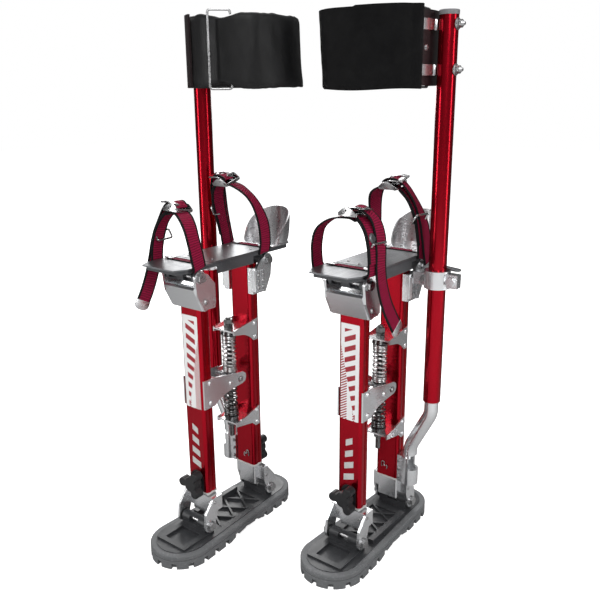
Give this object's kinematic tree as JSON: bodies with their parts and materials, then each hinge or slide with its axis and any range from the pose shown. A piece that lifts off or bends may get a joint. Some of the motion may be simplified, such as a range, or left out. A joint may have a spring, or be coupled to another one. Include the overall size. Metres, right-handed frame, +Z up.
{
  "type": "drywall stilts",
  "caption": "Drywall stilts: sprung telescoping legs on rubber soles, levelled foot platforms with webbing straps and heel cups, and calf poles with padded cuffs.",
  "frame": {"origin": "on the ground, at the middle of the bottom of the pair's box", "axes": "+Z up along the legs, the wearer faces -Y, the wearer's left side is +X"},
  "size_m": [0.4226, 0.409, 0.7976],
  "materials": {
    "red_anodised": "satin",
    "silver_aluminium": "satin",
    "bolt_steel": "satin",
    "spring_steel": "satin",
    "sole_rubber": "matte",
    "sole_plastic": "matte",
    "tray_plastic": "matte",
    "pewter_plate": "brushed",
    "cup_steel": "polished",
    "strap_webbing": "woven",
    "buckle_chrome": "polished",
    "cuff_nylon": "satin weave",
    "knob_plastic": "matte"
  },
  "bodies": {
    "left_sole": {"left_sole_tread": "sole_rubber", "left_sole_plate": "sole_plastic", "left_sole_axles": "bolt_steel"},
    "left_front_lower": {"left_front_lower_leg": "silver_aluminium"},
    "left_rear_lower": {"left_rear_lower_leg": "silver_aluminium"},
    "left_front_upper": {"left_front_outer_tube": "red_anodised", "left_front_top_yoke": "silver_aluminium", "left_mid_spring_bracket": "silver_aluminium"},
    "left_rear_upper": {"left_rear_outer_tube": "red_anodised", "left_rear_top_yoke": "silver_aluminium", "left_spring_brackets": "silver_aluminium", "left_spring_rod": "bolt_steel", "left_upper_spring": "spring_steel", "left_lower_spring": "spring_steel", "left_pole_clamp": "silver_aluminium", "left_bent_tube": "silver_aluminium"},
    "left_shuttle": {"left_shuttle": "bolt_steel"},
    "left_platform": {"left_platform_tray": "tray_plastic", "left_foot_plates": "pewter_plate", "left_platform_axles": "bolt_steel", "left_foot_straps": "strap_webbing", "left_buckle_frames": "buckle_chrome"},
    "left_heel": {"left_heel_cup": "cup_steel"},
    "left_toe_lever": {"left_toe_lever": "buckle_chrome"},
    "left_ankle_lever": {"left_ankle_lever": "buckle_chrome"},
    "left_calf": {"left_pole": "red_anodised", "left_cuff_frame": "silver_aluminium", "left_cuff_pad": "cuff_nylon"},
    "left_front_knob": {"left_front_knob": "knob_plastic"},
    "left_rear_knob": {"left_rear_knob": "knob_plastic"},
    "right_sole": {"right_sole_tread": "sole_rubber", "right_sole_plate": "sole_plastic", "right_sole_axles": "bolt_steel"},
    "right_front_lower": {"right_front_lower_leg": "silver_aluminium"},
    "right_rear_lower": {"right_rear_lower_leg": "silver_aluminium"},
    "right_front_upper": {"right_front_outer_tube": "red_anodised", "right_front_top_yoke": "silver_aluminium", "right_mid_spring_bracket": "silver_aluminium"},
    "right_rear_upper": {"right_rear_outer_tube": "red_anodised", "right_rear_top_yoke": "silver_aluminium", "right_spring_brackets": "silver_aluminium", "right_spring_rod": "bolt_steel", "right_upper_spring": "spring_steel", "right_lower_spring": "spring_steel", "right_pole_clamp": "silver_aluminium", "right_bent_tube": "silver_aluminium"},
    "right_shuttle": {"right_shuttle": "bolt_steel"},
    "right_platform": {"right_platform_tray": "tray_plastic", "right_foot_plates": "pewter_plate", "right_platform_axles": "bolt_steel", "right_foot_straps": "strap_webbing", "right_buckle_frames": "buckle_chrome"},
    "right_heel": {"right_heel_cup": "cup_steel"},
    "right_toe_lever": {"right_toe_lever": "buckle_chrome"},
    "right_ankle_lever": {"right_ankle_lever": "buckle_chrome"},
    "right_calf": {"right_pole": "red_anodised", "right_cuff_frame": "silver_aluminium", "right_cuff_pad": "cuff_nylon"},
    "right_front_knob": {"right_front_knob": "knob_plastic"},
    "right_rear_knob": {"right_rear_knob": "knob_plastic"}
  },
  "joints": [
    {"name": "left_lean", "type": "hinge", "parent": "left_sole", "child": "left_rear_lower", "pos_m": [0.1065, 0.1275, 0.0385], "axis": [1, 0, 0], "range_deg": [-7, 7], "stiffness_Nm_per_rad": 420},
    {"name": "left_front_lean", "type": "hinge", "parent": "left_sole", "child": "left_front_lower", "pos_m": [0.1065, -0.0185, 0.0385], "axis": [1, 0, 0], "range_deg": [-7, 7]},
    {"name": "left_height", "type": "slide", "parent": "left_rear_lower", "child": "left_rear_upper", "axis": [0, 0, 1], "range_m": [0, 0.254]},
    {"name": "left_front_height", "type": "slide", "parent": "left_front_lower", "child": "left_front_upper", "axis": [0, 0, 1], "range_m": [0, 0.254]},
    {"name": "left_foot_level", "type": "hinge", "parent": "left_rear_upper", "child": "left_platform", "pos_m": [0.1065, 0.1275, 0.4375], "axis": [1, 0, 0], "range_deg": [-7, 7]},
    {"name": "left_shuttle_slide", "type": "slide", "parent": "left_rear_upper", "child": "left_shuttle", "axis": [0, 0, 1], "range_m": [-0.018, 0.018], "deforming": ["left_upper_spring", "left_lower_spring"]},
    {"name": "left_calf_height", "type": "slide", "parent": "left_rear_upper", "child": "left_calf", "axis": [0, 0, 1], "range_m": [0, 0.1]},
    {"name": "left_heel_adjust", "type": "slide", "parent": "left_platform", "child": "left_heel", "axis": [0, 1, 0], "range_m": [0, 0.02]},
    {"name": "left_toe_buckle", "type": "hinge", "parent": "left_platform", "child": "left_toe_lever", "pos_m": [0.1105, -0.0163, 0.53532], "axis": [0, -0.9903, 0.1386], "range_deg": [0, 95]},
    {"name": "left_ankle_buckle", "type": "hinge", "parent": "left_platform", "child": "left_ankle_lever", "pos_m": [0.1105, 0.08151, 0.56526], "axis": [0, -0.9578, -0.2873], "range_deg": [0, 95]},
    {"name": "left_front_knob_turn", "type": "hinge", "parent": "left_front_upper", "child": "left_front_knob", "pos_m": [0.1065, -0.0115, 0.104], "axis": [0, -1, 0], "continuous": true},
    {"name": "left_rear_knob_turn", "type": "hinge", "parent": "left_rear_upper", "child": "left_rear_knob", "pos_m": [0.1065, 0.1205, 0.104], "axis": [0, 1, 0], "continuous": true},
    {"name": "right_lean", "type": "hinge", "parent": "right_sole", "child": "right_rear_lower", "pos_m": [-0.1065, 0.0225, 0.0385], "axis": [1, 0, 0], "range_deg": [-7, 7], "stiffness_Nm_per_rad": 420},
    {"name": "right_front_lean", "type": "hinge", "parent": "right_sole", "child": "right_front_lower", "pos_m": [-0.1065, -0.1235, 0.0385], "axis": [1, 0, 0], "range_deg": [-7, 7]},
    {"name": "right_height", "type": "slide", "parent": "right_rear_lower", "child": "right_rear_upper", "axis": [0, 0, 1], "range_m": [0, 0.254]},
    {"name": "right_front_height", "type": "slide", "parent": "right_front_lower", "child": "right_front_upper", "axis": [0, 0, 1], "range_m": [0, 0.254]},
    {"name": "right_foot_level", "type": "hinge", "parent": "right_rear_upper", "child": "right_platform", "pos_m": [-0.1065, 0.0225, 0.4375], "axis": [1, 0, 0], "range_deg": [-7, 7]},
    {"name": "right_shuttle_slide", "type": "slide", "parent": "right_rear_upper", "child": "right_shuttle", "axis": [0, 0, 1], "range_m": [-0.018, 0.018], "deforming": ["right_upper_spring", "right_lower_spring"]},
    {"name": "right_calf_height", "type": "slide", "parent": "right_rear_upper", "child": "right_calf", "axis": [0, 0, 1], "range_m": [0, 0.1]},
    {"name": "right_heel_adjust", "type": "slide", "parent": "right_platform", "child": "right_heel", "axis": [0, 1, 0], "range_m": [0, 0.02]},
    {"name": "right_toe_buckle", "type": "hinge", "parent": "right_platform", "child": "right_toe_lever", "pos_m": [-0.1105, -0.1213, 0.53532], "axis": [0, 0.9903, -0.1386], "range_deg": [0, 95]},
    {"name": "right_ankle_buckle", "type": "hinge", "parent": "right_platform", "child": "right_ankle_lever", "pos_m": [-0.1105, -0.02349, 0.56526], "axis": [0, 0.9578, 0.2873], "range_deg": [0, 95]},
    {"name": "right_front_knob_turn", "type": "hinge", "parent": "right_front_upper", "child": "right_front_knob", "pos_m": [-0.1065, -0.1165, 0.104], "axis": [0, -1, 0], "continuous": true},
    {"name": "right_rear_knob_turn", "type": "hinge", "parent": "right_rear_upper", "child": "right_rear_knob", "pos_m": [-0.1065, 0.0155, 0.104], "axis": [0, 1, 0], "continuous": true},
    {"name": "right_step", "type": "slide", "parent": "left_sole", "child": "right_sole", "axis": [0, 0, 1], "range_m": [0, 0.15]}
  ],
  "couplings": [
    {"joint": "left_front_lean", "follows": "left_lean", "ratio": 1},
    {"joint": "left_front_height", "follows": "left_height", "ratio": 1},
    {"joint": "left_foot_level", "follows": "left_lean", "ratio": -1},
    {"joint": "left_shuttle_slide", "follows": "left_lean", "m_per_rad": 0.146},
    {"joint": "right_front_lean", "follows": "right_lean", "ratio": 1},
    {"joint": "right_front_height", "follows": "right_height", "ratio": 1},
    {"joint": "right_foot_level", "follows": "right_lean", "ratio": -1},
    {"joint": "right_shuttle_slide", "follows": "right_lean", "m_per_rad": 0.146}
  ]
}
